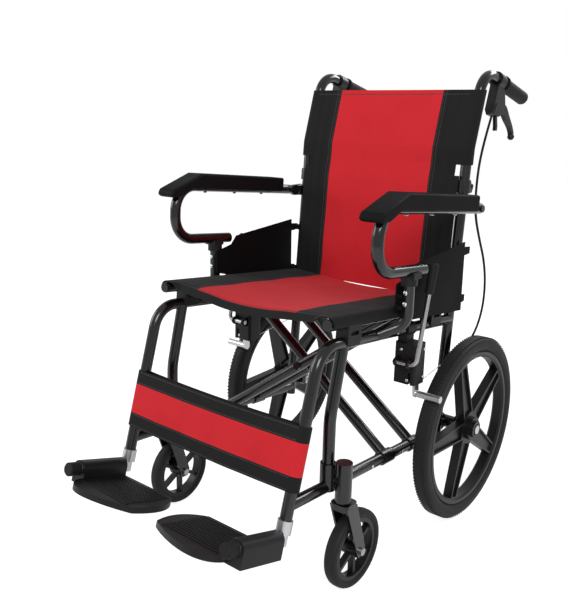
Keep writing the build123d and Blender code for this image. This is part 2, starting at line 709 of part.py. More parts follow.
def footplate():
    """Ribbed plate moulded in one with the barrel that turns on the pin."""
    barrel_y = -block_start - block_len / 2
    block = Pos(0, barrel_y, (block_top - block_low) / 2) * Box(block_w, block_len, block_top + block_low)
    block = fillet(block.edges().filter_by(Axis.Y).group_by(Axis.Z)[-1], 13)
    edge_x = -block_w / 2 + 4
    rear, front = -plate_start, -plate_start - plate_len
    path = [Line((edge_x, rear), (-plate_w + 18, rear + 0.5)),
            Spline((-plate_w + 18, rear + 0.5), (-plate_w, rear - 20), (-plate_w - 1, front + 22)),
            Spline((-plate_w - 1, front + 22), (-plate_w * 0.62, front - 5), (edge_x - 12, front + 3),
                   (edge_x, front + 26)),
            Line((edge_x, front + 26), (edge_x, rear))]
    slab = Solid.extrude(Face(Wire(path)), Vector(0, 0, plate_t))
    slab = slab.moved(Pos(0, 0, -plate_level - plate_t))
    body = block + slab
    for row in range(rib_count):
        y = rear - 12 - row * (plate_len - 34) / (rib_count - 1)
        body += Pos(-plate_w / 2 - 6, y, -plate_level + rib_h / 2) * Box(plate_w - 42, 3.2, rib_h)
    body -= Pos(0, barrel_y, 0) * Rot(90, 0, 0) * Cylinder(foot_pin_r + run_gap, block_len + 20)
    return foot_place(body)


def footrest_bracket():
    """Clamp on the legrest tube's end that carries the footplate pin."""
    lean = radians(leg_lean)
    clamp = Pos(0, 0, foot_drop) * Cylinder(tube_r + 2.5, 24) - Pos(0, 0, foot_drop + 14) * Cylinder(
        tube_r + seat_gap, 28)
    web = Pos(0, -4, foot_drop / 2 - 9) * Box(20, 14, foot_drop + 4)
    pin = Pos(0, -(block_start + block_len + 10) / 2, 0) * Rot(90, 0, 0) * Cylinder(foot_pin_r, block_start
                                                                                  + block_len + 10)
    washer = Pos(0, -block_start - block_len - 1.6, 0) * Rot(90, 0, 0) * Cylinder(cap_r - 1, 2)
    return foot_place(clamp + web + pin + washer)


def footrest_cap():
    """Rubber plug on the front end of the footplate pin."""
    start = block_start + block_len + 3
    body = Pos(0, -start - cap_len / 2, 0) * Rot(90, 0, 0) * Cylinder(cap_r, cap_len)
    body = chamfer(body.edges().filter_by(GeomType.CIRCLE).sort_by(Axis.Y)[0], 2)
    return foot_place(body - Pos(0, -start, 0) * Rot(90, 0, 0) * Cylinder(foot_pin_r + seat_gap, 2 * 9))


def calf_strap():
    """Wide cloth band round both legrest tubes."""
    lean = radians(leg_lean)
    y0, z0 = leg_y(leg_end_z), leg_end_z
    start = Plane(origin=(0, y0 + strap_low * sin(lean), z0 + strap_low * cos(lean)), x_dir=(1, 0, 0),
                  z_dir=(0, sin(lean), cos(lean)))
    inner = tube_r + soft_gap
    ring = SlotCenterToCenter(2 * rail_x, 2 * (inner + strap_t)) - SlotCenterToCenter(2 * rail_x, 2 * inner)
    return extrude(start * ring, strap_h)


# Cloth

def seat_cloth():
    """Sling over both seat rails, sagging a little between them."""
    r = tube_r + soft_gap
    top = r + cloth_t
    upper = Spline((-rail_x, top), (0, top - seat_sag), (rail_x, top), tangents=((1, 0), (1, 0)))
    lower = Spline((rail_x, r), (0, r - seat_sag), (-rail_x, r), tangents=((-1, 0), (-1, 0)))
    sling = make_face(Wire([upper, Line(upper @ 1, lower @ 0), lower, Line(lower @ 1, upper @ 0)]))
    section = sling
    for side in (-1, 1):
        ring = Pos(side * rail_x, 0) * (Circle(top) - Circle(r))
        section += ring & (Pos(side * (rail_x + 20), 18) * Rectangle(40, 40))
    start = Plane(origin=(0, seat_front_y, seat_rail_z - slope * seat_front_y), x_dir=(1, 0, 0),
                  z_dir=(0, -cos(radians(frame_tilt)), sin(radians(frame_tilt))))
    flipped = Plane(origin=start.origin, x_dir=(-1, 0, 0), z_dir=-start.z_dir)
    return extrude(flipped * section, (seat_rear_y - seat_front_y) / cos(radians(frame_tilt)))


def cane_y(z):
    """Middle of the back post and of the cane above it, up to the push handle's bend."""
    return post_y(z) if z < back_knee_z else post_y(back_knee_z) + (z - back_knee_z) * tan(radians(back_lean))


def back_sheet(stations, half_w):
    """Sheet in front of the canes; each station is a height and the sheet's distance from the cane's middle."""
    rear = [(cane_y(z) - gap, z) for z, gap in stations]
    front = [(cane_y(z) - gap - cloth_t, z) for z, gap in reversed(stations)]
    return side_plate(-half_w, half_w, rear + front)


def back_cloth_lower():
    gap = collar_r + 1
    return back_sheet([(top_z(0) + 42, gap), (hinge_z - 2, gap)], rail_x - 4)


def back_cloth_upper():
    """Sheet with sleeves round both canes, and a narrower tail below the sleeves."""
    body = back_sheet([(hinge_z + 2, collar_r + 1), (sleeve_low_z, 14.0), (back_knee_z, 13.0), (back_top_z, 12.5)],
                      rail_x)
    low, knee, high = [(rail_x, cane_y(z), z) for z in (sleeve_low_z, back_knee_z, back_top_z)]
    sleeve_r = tube_r + soft_gap + cloth_t
    sleeve = rod(low, knee, sleeve_r) + rod(knee, high, sleeve_r)
    body += sleeve + other_side(sleeve)
    inner_r = tube_r + soft_gap + bend_gap
    above = (rail_x, cane_y(back_top_z + 20), back_top_z + 20)
    hollow = rod((rail_x, cane_y(hinge_z), hinge_z), knee, inner_r) + rod(knee, above, inner_r)
    slot = Pos(rail_x, 0, (hinge_z + sleeve_low_z) / 2) * Box(32, 80, sleeve_low_z - hinge_z)
    return body - hollow - other_side(hollow) - slot - other_side(slot)


# Brakes

def park_brake_body():
    """Closed housing under the top rail, with ears for the lever and a slot for the shoe arm."""
    size_x, size_y, size_z = box_size
    body = Pos(box_x, box_y, box_z) * Box(size_x, size_y, size_z)
    body = fillet(body.edges().filter_by(Axis.Z), 6)
    rail_z = top_z(box_y)
    body += Solid.make_cylinder(tube_r + 3.5, 30, along_y(rail_x, box_y, rail_z, frame_tilt).offset(-15))
    body += Pos(rail_x, box_y, (box_z + size_z / 2 + rail_z) / 2) * Box(20, 26, rail_z - box_z - size_z / 2)
    for x in (box_x - 16, box_x + 12):
        body += side_plate(x, x + 4, [(box_y - size_y / 2 + 1, lever_z - 11), (lever_y - 3, lever_z - 8),
                                      (lever_y - 8, lever_z - 3), (lever_y - 8, lever_z + 3),
                                      (lever_y - 3, lever_z + 8), (box_y - size_y / 2 + 1, lever_z + 11)])
    body -= cross_rod(box_x - 26, box_x + 26, lever_y, lever_z, lever_rod_r + run_gap)
    rail = [(rail_x, box_y - 40, top_z(box_y - 40)), (rail_x, box_y + 40, top_z(box_y + 40))]
    body -= tube(rail, [], tube_d + 2 * seat_gap)
    slot_top = shoe_z + 13
    slot_low = box_z - size_z / 2 - 1
    body -= Pos(shoe_x, box_y, (slot_top + slot_low) / 2) * Box(shoe_t + 2 * soft_gap, size_y + 2,
                                                                slot_top - slot_low)
    return body + cross_rod(shoe_x - 8, shoe_x + 8, shoe_y, shoe_z, 3.0)


def park_lever_path():
    lean = radians(lever_lean)
    return [(box_x - 19, lever_y, lever_z), (lever_x, lever_y, lever_z),
            (lever_x, lever_y + lever_len * sin(lean), lever_z + lever_len * cos(lean))]


def park_brake_lever():
    return tube(park_lever_path(), [13.0], 2 * lever_rod_r)


def park_brake_grip():
    """Tapered plastic sleeve on the lever's top."""
    axis = (Vector(*park_lever_path()[2]) - Vector(*park_lever_path()[1])).normalized()
    top = Vector(*park_lever_path()[2]) + axis * 4
    low = top - axis * lever_grip_len
    body = Solid.make_cone(lever_grip_r - 1.5, lever_grip_r, lever_grip_len, Plane(origin=low, z_dir=axis))
    body = chamfer(body.edges().filter_by(GeomType.CIRCLE).sort_by(Axis.Z)[-1], 3.5)
    return body - rod(low - axis, top - axis * 3.9, lever_rod_r + seat_gap)


def park_brake_shoe():
    """Arm with the pin that presses on the tyre."""
    low = shoe_z - shoe_drop
    x0, x1 = shoe_x - shoe_t / 2, shoe_x + shoe_t / 2
    body = side_plate(x0, x1, [(shoe_y - 8, shoe_z), (shoe_y + 8, shoe_z), (shoe_y + 12, low), (shoe_y - 4, low)])
    body += cross_rod(x0, x1, shoe_y, shoe_z, 8.0) + cross_rod(x0, x1, shoe_y + 4, low, 8.0)
    body += cross_rod(x1, x1 + shoe_pin_len, shoe_y + 4, low, shoe_pin_r)
    return body - cross_rod(x0 - 1, x1 + 1, shoe_y, shoe_z, 3.0 + run_gap)


def cable_radii():
    """Each corner's arc, as large as its two runs allow."""
    points = [Vector(*p) for p in cable_points]
    radii = []
    for before, here, after in zip(points, points[1:], points[2:]):
        turn = (here - before).get_angle(after - here)
        run = min((here - before).length, (after - here).length)
        radii.append(0.45 * run / tan(radians(turn) / 2))
    return radii


def brake_cable():
    """Outer cable from the hand lever to its stop, and the bare wire on to the shoe."""
    outer = tube(cable_points, cable_radii(), cable_d)
    wire = rod((cable_x, stop_y, stop_z), (shoe_x - shoe_t / 2 - 2.0, shoe_y + 9, shoe_z - 21), wire_d / 2)
    return Compound(children=[outer, wire])


# All pieces

def paired():
    """Left-hand pieces; the right-hand ones are their mirror images."""
    return {
        "side_frame": side_frame, "seat_saddles": seat_saddles, "upper_cane": upper_cane, "push_grip": push_grip,
        "brake_perch": brake_perch, "brake_lever": brake_lever, "brake_catch": brake_catch,
        "back_latch": back_latch, "armrest_frame": armrest_frame, "armrest_pad": armrest_pad,
        "armrest_socket": armrest_socket, "skirt_guard": skirt_guard, "rear_tyre": rear_tyre,
        "rear_wheel": rear_wheel, "rear_axle": rear_axle, "caster_fork": caster_fork,
        "caster_wheel": caster_wheel, "caster_tyre": caster_tyre, "caster_axle": caster_axle,
        "footplate": footplate, "footrest_bracket": footrest_bracket, "footrest_cap": footrest_cap,
        "park_brake_body": park_brake_body, "park_brake_lever": park_brake_lever,
        "park_brake_grip": park_brake_grip, "park_brake_shoe": park_brake_shoe, "brake_cable": brake_cable,
    }


def singles():
    return {
        "brace_first": brace_first, "brace_second": brace_second, "seat_cloth": seat_cloth,
        "back_cloth_lower": back_cloth_lower, "back_cloth_upper": back_cloth_upper, "calf_strap": calf_strap,
    }


def save(name, shape):
    export_step(Pos(0, axle_y, 0) * shape, f"parts/{name}.step")


def main():
    os.makedirs("parts", exist_ok=True)
    for name, build in paired().items():
        shape = build()
        save(name + "_left", shape)
        save(name + "_right", other_side(shape))
    for name, build in singles().items():
        save(name, build())
    print("cable radii", [round(r) for r in cable_radii()])


if __name__ == "__main__":
    main()
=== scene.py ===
import bpy
import bmesh
from math import cos, exp, pi, radians, sin, tan
from mathutils import Matrix, Vector, noise


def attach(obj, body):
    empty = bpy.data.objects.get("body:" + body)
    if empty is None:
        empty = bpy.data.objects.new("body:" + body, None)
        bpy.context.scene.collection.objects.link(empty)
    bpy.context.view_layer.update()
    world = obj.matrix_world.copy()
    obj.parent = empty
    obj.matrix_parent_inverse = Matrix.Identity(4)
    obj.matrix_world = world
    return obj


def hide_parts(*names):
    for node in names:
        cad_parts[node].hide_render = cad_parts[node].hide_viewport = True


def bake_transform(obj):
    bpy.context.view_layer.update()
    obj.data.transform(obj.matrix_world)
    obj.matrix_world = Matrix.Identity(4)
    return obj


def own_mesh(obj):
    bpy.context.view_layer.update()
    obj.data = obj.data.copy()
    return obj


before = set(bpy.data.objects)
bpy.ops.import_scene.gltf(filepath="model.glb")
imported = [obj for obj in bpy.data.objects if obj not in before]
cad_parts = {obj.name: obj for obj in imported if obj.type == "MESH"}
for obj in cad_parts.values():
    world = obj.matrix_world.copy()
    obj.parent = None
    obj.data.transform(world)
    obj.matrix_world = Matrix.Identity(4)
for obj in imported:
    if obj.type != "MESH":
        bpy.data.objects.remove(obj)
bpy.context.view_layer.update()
sides = (("left", 1), ("right", -1))

# The chair is drawn in millimetres with Y counted from the rear axle, then placed in metres
chair = {
    "axleY": 227.1, "railX": 205.0, "frameTilt": 4.5, "topRailZ": 434.5, "seatRise": 36.5,
    "hingeY": 6.0, "hingeZ": 713.0, "backKneeZ": 790.0, "backLean": 16.0, "legLean": 16.0,
    "legEndZ": 176.0, "legCornerY": -464.0, "tubeR": 11.0,
}
tiltSlope = tan(radians(chair["frameTilt"]))


def place(x, y, z):
    return Vector((x, y + chair["axleY"], z)) / 1000


def topRailAt(y):
    return chair["topRailZ"] - tiltSlope * y


def postAt(z):
    return chair["hingeY"] - (chair["hingeZ"] - z) * tiltSlope


def caneAt(z):
    if z < chair["backKneeZ"]:
        return postAt(z)
    return postAt(chair["backKneeZ"]) + (z - chair["backKneeZ"]) * tan(radians(chair["backLean"]))


def legAt(z):
    return chair["legCornerY"] - (topRailAt(chair["legCornerY"]) - z) * tan(radians(chair["legLean"]))


# Camera, floor and light
camera = {
    "place": (929.43, -1430.37, 846.22), "turn": 39.84, "down": 14.14, "roll": -1.26, "lens": 44.37,
}
studio = {
    "floor": (0.86, 0.86, 0.86, 1), "key": 70.0, "fill": 34.0, "rim": 44.0, "sky": 0.45, "glow": 1.97, "glowShare": 0.4,
}


def setCamera():
    turn, down, roll = (radians(camera[k]) for k in ("turn", "down", "roll"))
    right = Vector((cos(turn), sin(turn), 0))
    back = Vector((sin(turn) * cos(down), -cos(turn) * cos(down), sin(down)))
    low = (-back).cross(right)
    rolledRight = cos(roll) * right + sin(roll) * low
    rolledUp = -(-sin(roll) * right + cos(roll) * low)
    data = bpy.data.cameras.new("photoCamera")
    data.sensor_fit = "VERTICAL"
    data.sensor_height = 36
    data.lens = camera["lens"]
    data.clip_end = 60
    obj = bpy.data.objects.new("photoCamera", data)
    bpy.context.scene.collection.objects.link(obj)
    turned = Matrix((rolledRight, rolledUp, back)).transposed().to_4x4()
    obj.matrix_world = Matrix.Translation(place(*camera["place"])) @ turned
    bpy.context.scene.camera = obj


def areaLight(name, where, aim, size, power):
    data = bpy.data.lights.new(name, "AREA")
    data.shape = "RECTANGLE"
    data.size, data.size_y = size
    data.energy = power
    obj = bpy.data.objects.new(name, data)
    bpy.context.scene.collection.objects.link(obj)
    where, aim = Vector(where), Vector(aim)
    obj.matrix_world = Matrix.Translation(where) @ (where - aim).to_track_quat("Z", "Y").to_matrix().to_4x4()


def setStudio():
    scene = bpy.context.scene
    scene.view_settings.view_transform = "Standard"
    world = bpy.data.worlds.new("studioWorld")
    scene.world = world
    world.use_nodes = True
    nodes, links = world.node_tree.nodes, world.node_tree.links
    nodes.clear()
    output = nodes.new("ShaderNodeOutputWorld")
    mix = nodes.new("ShaderNodeMixShader")
    ambient = nodes.new("ShaderNodeBackground")
    ambient.inputs[0].default_value = (0.95, 0.97, 1, 1)
    ambient.inputs[1].default_value = studio["sky"]
    shown = nodes.new("ShaderNodeBackground")
    shown.inputs[0].default_value = (1, 1, 1, 1)
    shown.inputs[1].default_value = 1.0
    links.new(cameraOrMirror(nodes, links, 0.25), mix.inputs[0])
    links.new(ambient.outputs[0], mix.inputs[1])
    links.new(shown.outputs[0], mix.inputs[2])
    links.new(mix.outputs[0], output.inputs[0])

    mesh = bpy.data.meshes.new("studioFloor")
    mesh.from_pydata([(-9, -9, 0), (9, -9, 0), (9, 9, 0), (-9, 9, 0)], [], [(0, 1, 2, 3)])
    floor = bpy.data.objects.new("studioFloor", mesh)
    scene.collection.objects.link(floor)
    paint = bpy.data.materials.new("studioFloorWhite")
    paint.use_nodes = True
    nodes, links = paint.node_tree.nodes, paint.node_tree.links
    nodes.clear()
    output = nodes.new("ShaderNodeOutputMaterial")
    mix = nodes.new("ShaderNodeMixShader")
    matt = nodes.new("ShaderNodeBsdfDiffuse")
    matt.inputs[0].default_value = studio["floor"]
    glow = nodes.new("ShaderNodeEmission")
    glow.inputs[0].default_value = (1, 1, 1, 1)
    glow.inputs[1].default_value = studio["glow"]
    half = nodes.new("ShaderNodeMath")
    half.operation = "MULTIPLY"
    half.inputs[1].default_value = studio["glowShare"]
    links.new(cameraOrMirror(nodes, links, 0.3), half.inputs[0])
    links.new(half.outputs[0], mix.inputs[0])
    links.new(matt.outputs[0], mix.inputs[1])
    links.new(glow.outputs[0], mix.inputs[2])
    links.new(mix.outputs[0], output.inputs[0])
    mesh.materials.append(paint)

    areaLight("keySoftbox", (2.2, -2.4, 2.6), (0, 0, 0.45), (1.6, 1.6), studio["key"])
    areaLight("fillSoftbox", (-2.6, -1.6, 1.7), (0, 0, 0.5), (1.8, 1.8), studio["fill"])
    areaLight("rimSoftbox", (0.6, 2.8, 2.4), (0, 0.1, 0.6), (2.2, 0.9), studio["rim"])


def cameraOrMirror(nodes, links, mirrorShare):
    # camera rays count in full, mirror rays by a share
    path = nodes.new("ShaderNodeLightPath")
    soft = nodes.new("ShaderNodeMath")
    soft.operation = "MULTIPLY"
    soft.inputs[1].default_value = mirrorShare
    links.new(path.outputs["Is Glossy Ray"], soft.inputs[0])
    first = nodes.new("ShaderNodeMath")
    first.operation = "MAXIMUM"
    links.new(path.outputs["Is Camera Ray"], first.inputs[0])
    links.new(soft.outputs[0], first.inputs[1])
    second = nodes.new("ShaderNodeMath")
    second.operation = "MAXIMUM"
    links.new(first.outputs[0], second.inputs[0])
    links.new(path.outputs["Is Transmission Ray"], second.inputs[1])
    return second.outputs[0]


# Finishes
finishes = {
    "glossBlackPaint": {"color": (0.004, 0.004, 0.0043), "rough": (0.13, 0.26), "shine": 0.4, "coat": 0.4,
                        "grain": 90, "bump": 0.04},
    "zincPlate": {"color": (0.62, 0.63, 0.64), "rough": (0.24, 0.45), "metal": 1.0, "grain": 120, "bump": 0.06},
    "brushedSteel": {"color": (0.42, 0.42, 0.43), "rough": (0.22, 0.4), "metal": 1.0, "grain": 260, "bump": 0.05},
    "mouldedBlack": {"color": (0.008, 0.008, 0.0083), "rough": (0.38, 0.52), "shine": 0.25, "grain": 900, "bump": 0.10},
    "glossMoulding": {"color": (0.007, 0.007, 0.0073), "rough": (0.28, 0.4), "shine": 0.3, "grain": 500, "bump": 0.07},
    "softRubber": {"color": (0.010, 0.010, 0.0103), "rough": (0.55, 0.72), "shine": 0.2, "grain": 700, "bump": 0.12},
    "tyreRubber": {"color": (0.014, 0.014, 0.0143), "rough": (0.5, 0.68), "shine": 0.2, "grain": 420, "bump": 0.14},
    "padFoamSkin": {"color": (0.007, 0.007, 0.0073), "rough": (0.5, 0.64), "shine": 0.06, "grain": 620, "bump": 0.22},
    "guardPanel": {"color": (0.006, 0.006, 0.0063), "rough": (0.5, 0.62), "shine": 0.05, "grain": 520, "bump": 0.12},
}
weaves = {
    "redCloth": {"color": (0.62, 0.021, 0.029), "dark": (0.48, 0.012, 0.018), "rough": 0.8, "sheen": 0.06, "pitch": 1.1},
    "blackCloth": {"color": (0.014, 0.014, 0.014), "dark": (0.007, 0.007, 0.007), "rough": 0.85, "sheen": 0.05,
                   "pitch": 1.1},
}
made = {}


def newMaterial(name):
    material = bpy.data.materials.new(name)
    material.use_nodes = True
    tree = material.node_tree
    shader = tree.nodes["Principled BSDF"]
    return material, tree.nodes, tree.links, shader


def noiseFrom(nodes, links, source, scale, detail, squeeze=(1, 1, 1)):
    mapping = nodes.new("ShaderNodeMapping")
    mapping.inputs["Scale"].default_value = squeeze
    links.new(source, mapping.inputs["Vector"])
    grain = nodes.new("ShaderNodeTexNoise")
    grain.inputs["Scale"].default_value = scale
    grain.inputs["Detail"].default_value = detail
    links.new(mapping.outputs[0], grain.inputs["Vector"])
    return grain.outputs["Fac"]


def ramp(nodes, links, source, low, high):
    node = nodes.new("ShaderNodeMapRange")
    node.inputs["From Min"].default_value = 0.3
    node.inputs["From Max"].default_value = 0.7
    node.inputs["To Min"].default_value = low
    node.inputs["To Max"].default_value = high
    links.new(source, node.inputs["Value"])
    return node.outputs[0]


def finish(name):
    if name in made:
        return made[name]
    values = finishes[name]
    material, nodes, links, shader = newMaterial(name)
    color = values["color"]
    shader.inputs["Metallic"].default_value = values.get("metal", 0.0)
    shader.inputs["Specular IOR Level"].default_value = values.get("shine", 0.5)
    shader.inputs["Coat Weight"].default_value = values.get("coat", 0.0)
    shader.inputs["Coat Roughness"].default_value = 0.12
    spot = nodes.new("ShaderNodeTexCoord").outputs["Object"]
    cloud = noiseFrom(nodes, links, spot, 9, 4)
    tint = nodes.new("ShaderNodeMix")
    tint.data_type = "RGBA"
    tint.inputs[6].default_value = (*[c * 0.75 for c in color], 1)
    tint.inputs[7].default_value = (*[min(1, c * 1.3) for c in color], 1)
    links.new(cloud, tint.inputs[0])
    links.new(tint.outputs[2], shader.inputs["Base Color"])
    squeeze = (1, 1, 0.08) if name == "brushedSteel" else (1, 1, 1)
    fine = noiseFrom(nodes, links, spot, values["grain"], 3, squeeze)
    links.new(ramp(nodes, links, cloud, *values["rough"]), shader.inputs["Roughness"])
    bump = nodes.new("ShaderNodeBump")
    bump.inputs["Strength"].default_value = values["bump"]
    bump.inputs["Distance"].default_value = 0.001
    links.new(fine, bump.inputs["Height"])
    links.new(bump.outputs[0], shader.inputs["Normal"])
    made[name] = material
    return material


def weave(name):
    # crossed thread waves, whose low gaps between threads get painted shade, with slight colour drift along the threads
    if name in made:
        return made[name]
    values = weaves[name]
    material, nodes, links, shader = newMaterial(name)
    shader.inputs["Roughness"].default_value = values["rough"]
    shader.inputs["Sheen Weight"].default_value = values["sheen"]
    shader.inputs["Sheen Roughness"].default_value = 0.45
    shader.inputs["Specular IOR Level"].default_value = 0.12
    spot = nodes.new("ShaderNodeUVMap")
    spot.uv_map = "clothFlat"
    heights = []
    for direction in ("X", "Y"):
        threads = nodes.new("ShaderNodeTexWave")
        threads.bands_direction = direction
        threads.inputs["Scale"].default_value = 1000 / values["pitch"] / 20 * 3.14
        threads.inputs["Distortion"].default_value = 0.4
        threads.inputs["Detail"].default_value = 1
        links.new(spot.outputs[0], threads.inputs["Vector"])
        heights.append(threads.outputs["Fac"])
    cross = nodes.new("ShaderNodeMath")
    cross.operation = "MAXIMUM"
    links.new(heights[0], cross.inputs[0])
    links.new(heights[1], cross.inputs[1])
    drift = noiseFrom(nodes, links, spot.outputs[0], 14, 5)
    # painted shade in the weave: colour runs from the dark value to the full colour with thread height, so the gaps
    # between threads are darker, mixed with random noise drift
    threadShadeAndDrift = nodes.new("ShaderNodeMath")
    threadShadeAndDrift.operation = "MULTIPLY_ADD"
    threadShadeAndDrift.inputs[1].default_value = 0.35
    links.new(cross.outputs[0], threadShadeAndDrift.inputs[0])
    links.new(drift, threadShadeAndDrift.inputs[2])
    tint = nodes.new("ShaderNodeMix")
    tint.data_type = "RGBA"
    tint.inputs[6].default_value = (*values["dark"], 1)
    tint.inputs[7].default_value = (*values["color"], 1)
    links.new(ramp(nodes, links, threadShadeAndDrift.outputs[0], 0.25, 1.0), tint.inputs[0])
    links.new(tint.outputs[2], shader.inputs["Base Color"])
    bump = nodes.new("ShaderNodeBump")
    bump.inputs["Strength"].default_value = 0.25
    bump.inputs["Distance"].default_value = 0.0006
    links.new(cross.outputs[0], bump.inputs["Height"])
    links.new(bump.outputs[0], shader.inputs["Normal"])
    made[name] = material
    return material


# Which finish each kept solid wears
dress = {
    "side_frame": "glossBlackPaint", "seat_saddles": "mouldedBlack", "upper_cane": "glossBlackPaint",
    "push_grip": "softRubber", "brake_perch": "glossMoulding", "brake_lever": "glossMoulding",
    "brake_catch": "glossMoulding", "back_latch": "mouldedBlack", "armrest_frame": "glossBlackPaint",
    "armrest_socket": "mouldedBlack", "skirt_guard": "guardPanel", "rear_tyre": "tyreRubber",
    "rear_wheel": "glossMoulding", "rear_axle": "zincPlate", "caster_fork": "glossBlackPaint",
    "caster_wheel": "glossMoulding", "caster_tyre": "tyreRubber", "caster_axle": "brushedSteel",
    "footplate": "mouldedBlack", "footrest_bracket": "zincPlate", "footrest_cap": "softRubber",
    "park_brake_body": "mouldedBlack", "park_brake_lever": "brushedSteel", "park_brake_grip": "softRubber",
    "park_brake_shoe": "zincPlate", "armrest_pad": "padFoamSkin", "brake_cable": "softRubber",
    "brace_first": "glossBlackPaint", "brace_second": "glossBlackPaint",
}


def dressSolids():
    for name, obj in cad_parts.items():
        base = name.rsplit("_", 1)[0] if name.endswith(("_left", "_right")) else name
        if base in dress:
            obj.data.materials.clear()
            obj.data.materials.append(finish(dress[base]))


# Making pieces

def newPiece(name, points, faces, materials, faceMaterials=None, smooth=True):
    mesh = bpy.data.meshes.new(name)
    mesh.from_pydata([tuple(p) for p in points], [], faces)
    for material in materials:
        mesh.materials.append(material)
    if faceMaterials:
        mesh.polygons.foreach_set("material_index", faceMaterials)
    if smooth:
        mesh.polygons.foreach_set("use_smooth", [True] * len(mesh.polygons))
    obj = bpy.data.objects.new(name, mesh)
    bpy.context.scene.collection.objects.link(obj)
    return obj


def bakeModifiers(obj):
    graph = bpy.context.evaluated_depsgraph_get()
    mesh = bpy.data.meshes.new_from_object(obj.evaluated_get(graph), preserve_all_data_layers=True, depsgraph=graph)
    obj.modifiers.clear()
    obj.data = mesh
    return obj


def outward(obj):
    work = bmesh.new()
    work.from_mesh(obj.data)
    bmesh.ops.remove_doubles(work, verts=work.verts, dist=1e-6)
    bmesh.ops.recalc_face_normals(work, faces=work.faces)
    work.to_mesh(obj.data)
    work.free()
    return obj


def clothSheet(name, columns, rows, pointAt, materialAt, materials, thick, closed=False, kept=None):
    # pointAt gives each place in mm, materialAt a cell's colour, and kept says which cells are cloth
    points = [place(*pointAt(u, v)) for v in rows for u in columns]
    wide = len(columns)
    span = wide if closed else wide - 1
    faces, colors, flats = [], [], []
    for j in range(len(rows) - 1):
        for i in range(span):
            if kept and not kept(i, j):
                continue
            k = (i + 1) % wide
            faces.append((j * wide + i, j * wide + k, (j + 1) * wide + k, (j + 1) * wide + i))
            colors.append(materialAt(i, j))
            right = columns[i + 1] if i + 1 < wide else columns[-1] + columns[1] - columns[0]
            flats += [(columns[i], rows[j]), (right, rows[j]), (right, rows[j + 1]), (columns[i], rows[j + 1])]
    obj = newPiece(name, points, faces, materials, colors)
    flat = obj.data.uv_layers.new(name="clothFlat")
    for corner, (u, v) in zip(flat.data, flats):
        corner.uv = (u / 1000, v / 1000)
    work = bmesh.new()
    work.from_mesh(obj.data)
    bmesh.ops.delete(work, geom=[v for v in work.verts if not v.link_faces], context="VERTS")
    bmesh.ops.recalc_face_normals(work, faces=work.faces)
    work.to_mesh(obj.data)
    work.free()
    wall = obj.modifiers.new("clothThickness", "SOLIDIFY")
    wall.thickness = thick / 1000
    wall.offset = 0
    wall.use_even_offset = True
    bakeModifiers(obj)
    obj.data.set_sharp_from_angle(angle=radians(50))
    return obj


def spread(start, end, count):
    return [start + (end - start) * i / count for i in range(count + 1)]


def ripple(x, y, z, scale):
    return noise.noise(Vector((x / scale, y / scale, z / scale)))


# Seat sling
seat = {
    "frontY": -444.0, "rearY": -32.0, "redHalf": 125.0, "lieR": 12.6, "thick": 2.4, "sag": 10.0,
    "wrapDown": -20.0, "hemDrop": 15.0, "hemLength": 20.0, "ripple": 1.6,
}


def seatPoint(u, v):
    # u runs across the seat along the cloth, v from front to rear
    railX, r = chair["railX"], seat["lieR"]
    edge = railX
    side = 1 if u > 0 else -1
    reach = abs(u)
    if reach <= edge:
        x, up = reach, r
        share = reach / edge
        front = max(0.0, min(1.0, (seat["frontY"] + 70 - v) / 70))
        up -= seat["sag"] * (1 + cos(pi * share)) / 2 * (1 + 0.35 * front)
        up += seat["ripple"] * ripple(u, v, 0, 62) * sin(pi * min(1, share * 1.02)) * 0.9
        up += 0.9 * ripple(u * 0.35, v, 7, 24) * max(0, share - 0.45) * (1 - share) * 6
    else:
        angle = pi / 2 - (reach - edge) / r
        x, up = railX + r * cos(angle), r * sin(angle)
    down = 0.0
    if v < seat["frontY"] + seat["hemLength"]:
        fall = (seat["frontY"] + seat["hemLength"] - v) / seat["hemLength"]
        down = seat["hemDrop"] * fall * fall * (1 - 0.25 * (reach / edge) ** 2) if reach < edge - 18 else 0.0
        if edge - 36 < reach < edge - 18:
            down *= (edge - 18 - reach) / 18
    tilt = radians(chair["frameTilt"])
    along = (v - seat["frontY"]) / cos(tilt)
    baseZ = topRailAt(seat["frontY"]) + chair["seatRise"] / cos(tilt)
    y = seat["frontY"] + along * cos(tilt) + up * sin(tilt)
    z = baseZ - along * sin(tilt) + (up - down) * cos(tilt)
    return side * x, y, z


def makeSeat():
    r, railX = seat["lieR"], chair["railX"]
    wrap = railX + r * radians(90 - seat["wrapDown"])
    inner = spread(-seat["redHalf"], seat["redHalf"], 50)
    outer = spread(seat["redHalf"], railX, 20)[1:] + spread(railX, wrap, 12)[1:]
    columns = [-u for u in reversed(outer)] + inner + outer
    hem = seat["frontY"] + 11
    rows = spread(seat["frontY"], hem, 6) + spread(hem, seat["rearY"], 84)[1:]

    def color(i, j):
        middle = (columns[i] + columns[i + 1]) / 2
        return 0 if abs(middle) < seat["redHalf"] and rows[j] >= hem - 0.01 else 1

    obj = clothSheet("seatSling", columns, rows, seatPoint, color, [weave("redCloth"), weave("blackCloth")], seat["thick"])
    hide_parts("seat_cloth")
    stitches = [[seatPoint(side * (seat["redHalf"] + off), v) for v in spread(hem + 4, seat["rearY"] - 3, 60)]
                for side in (-1, 1) for off in (3.0, 9.0)]
    stitches += [[seatPoint(u, hem + 2) for u in spread(-seat["redHalf"] - 60, seat["redHalf"] + 60, 60)]]
    thread = sewnLine("seatStitches", stitches, "blackThread", seat["thick"] / 2)
    return obj, thread


# Back sheet, in two panels that meet at the fold
back = {
    "lowZ": 478.0, "topZ": 906.0, "redHalf": 130.0, "thick": 2.4, "sleeveLowZ": 757.0, "sleeveR": 12.9,
    "slotWide": 16.0, "slotLowZ": 735.0, "frontGap": 17.0, "sag": 9.0,
    "creases": (152.0, 176.0),
}


